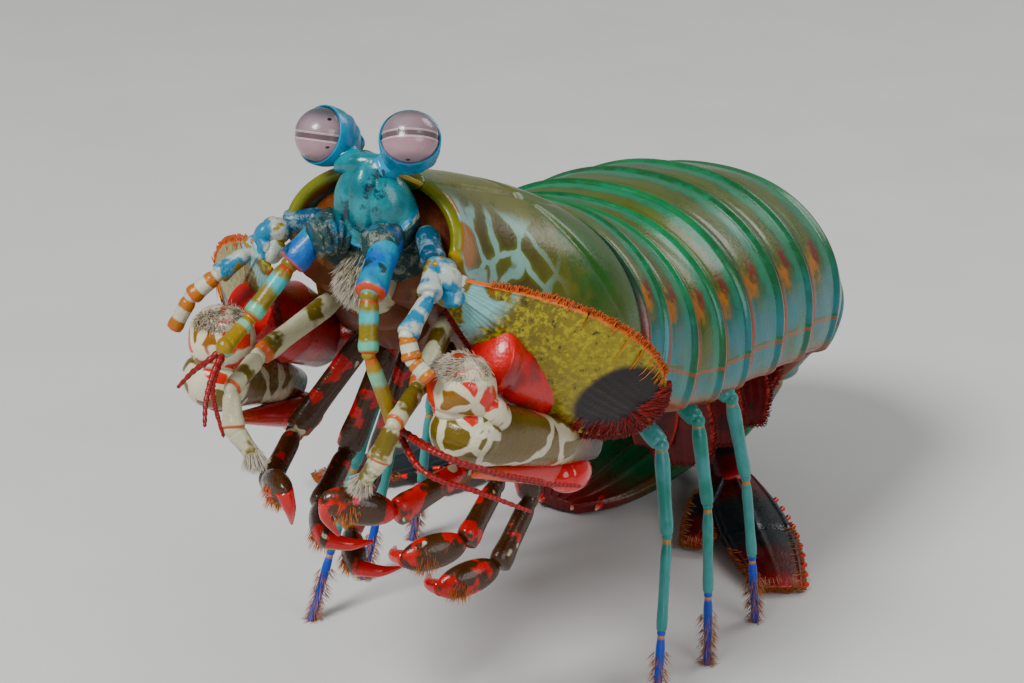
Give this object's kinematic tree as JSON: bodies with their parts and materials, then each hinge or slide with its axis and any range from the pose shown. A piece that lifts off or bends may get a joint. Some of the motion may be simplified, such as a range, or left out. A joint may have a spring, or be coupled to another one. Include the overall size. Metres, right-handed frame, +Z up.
{
  "type": "life-size mantis shrimp model",
  "caption": "Life-size peacock mantis shrimp at rest on its walking legs and spread tail fan, head raised, claws folded and abdomen curled beneath the body.",
  "frame": {"origin": "middle of the bounding box in plan, on the floor that the legs and tail fan rest on", "axes": "+Z up, -Y towards the head, +X towards the animal's left side"},
  "size_m": [0.0674, 0.1142, 0.0676],
  "materials": {
    "carapace_shell": "satin",
    "body_shell": "satin",
    "underside": "soft",
    "face_shell": "satin",
    "cornea": "polished",
    "antennule_shell": "satin",
    "antenna_shell": "satin",
    "scale_blade": "satin",
    "claw_shell": "satin",
    "claw_tip": "polished",
    "mouth_limb": "satin",
    "leg_shell": "satin",
    "flap": "soft",
    "tail_shell": "satin"
  },
  "bodies": {
    "root": {"carapace": "carapace_shell", "trunk": "underside", "thorax_5": "body_shell", "thorax_6": "body_shell", "thorax_7": "body_shell", "thorax_8": "body_shell", "abdomen_1": "body_shell", "abdomen_2": "body_shell", "abdomen_3": "body_shell", "abdomen_4": "body_shell", "abdomen_5": "body_shell", "abdomen_6": "body_shell", "rostral_plate": "carapace_shell", "head": "face_shell", "eye_left": "cornea", "eyestalk_left": "face_shell", "eye_right": "cornea", "eyestalk_right": "face_shell", "antennule_left": "antennule_shell", "antennule_right": "antennule_shell", "antenna_left": "antenna_shell", "antennal_scale_left": "scale_blade", "antenna_right": "antenna_shell", "antennal_scale_right": "scale_blade", "claw_hand_left": "claw_shell", "claw_arm_left": "claw_shell", "claw_finger_left": "claw_tip", "claw_hand_right": "claw_shell", "claw_arm_right": "claw_shell", "claw_finger_right": "claw_tip", "maxilliped_1_left": "mouth_limb", "maxilliped_3_left": "mouth_limb", "maxilliped_4_left": "mouth_limb", "maxilliped_5_left": "mouth_limb", "maxilliped_1_right": "mouth_limb", "maxilliped_3_right": "mouth_limb", "maxilliped_4_right": "mouth_limb", "maxilliped_5_right": "mouth_limb", "mouthparts": "underside", "leg_1_left": "leg_shell", "leg_1_right": "leg_shell", "leg_2_left": "leg_shell", "leg_2_right": "leg_shell", "leg_3_left": "leg_shell", "leg_3_right": "leg_shell", "pleopod_1_left": "flap", "pleopod_1_right": "flap", "pleopod_2_left": "flap", "pleopod_2_right": "flap", "pleopod_3_left": "flap", "pleopod_3_right": "flap", "pleopod_4_left": "flap", "pleopod_4_right": "flap", "pleopod_5_left": "flap", "pleopod_5_right": "flap", "telson": "tail_shell", "uropod_left": "tail_shell", "uropod_right": "tail_shell"}
  },
  "joints": []
}
